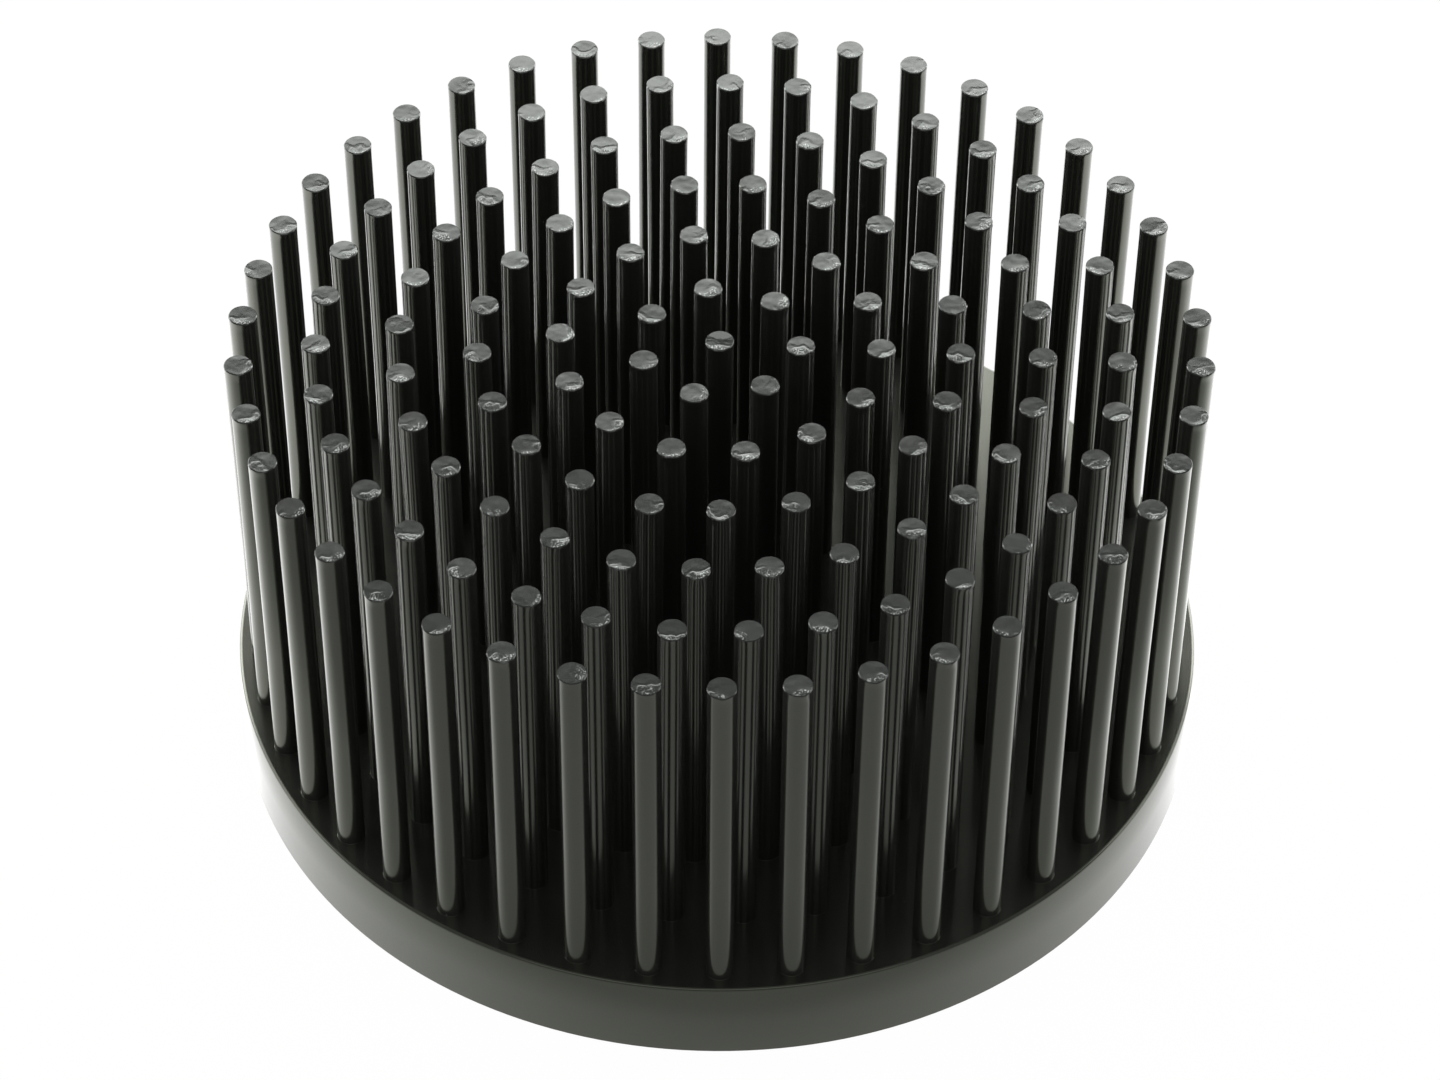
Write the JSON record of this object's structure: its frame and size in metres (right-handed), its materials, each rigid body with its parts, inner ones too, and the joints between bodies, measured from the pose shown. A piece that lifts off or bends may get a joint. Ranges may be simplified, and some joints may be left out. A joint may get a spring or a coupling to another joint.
{
  "type": "pin fin heat sink",
  "caption": "Round black anodised pin fin heat sink: a plain disc base with slim round pins on evenly spaced concentric rings, cold forged in one piece.",
  "frame": {"origin": "centre of the base's underside", "axes": "+Z along the pins, from the base to the tips; +X through the first pin of every ring"},
  "size_m": [0.1, 0.1, 0.05],
  "materials": {
    "anodised_aluminium": "black anodised, semi-gloss, over cold forged aluminium"
  },
  "bodies": {
    "root": {"heat_sink": "anodised_aluminium"}
  },
  "joints": []
}
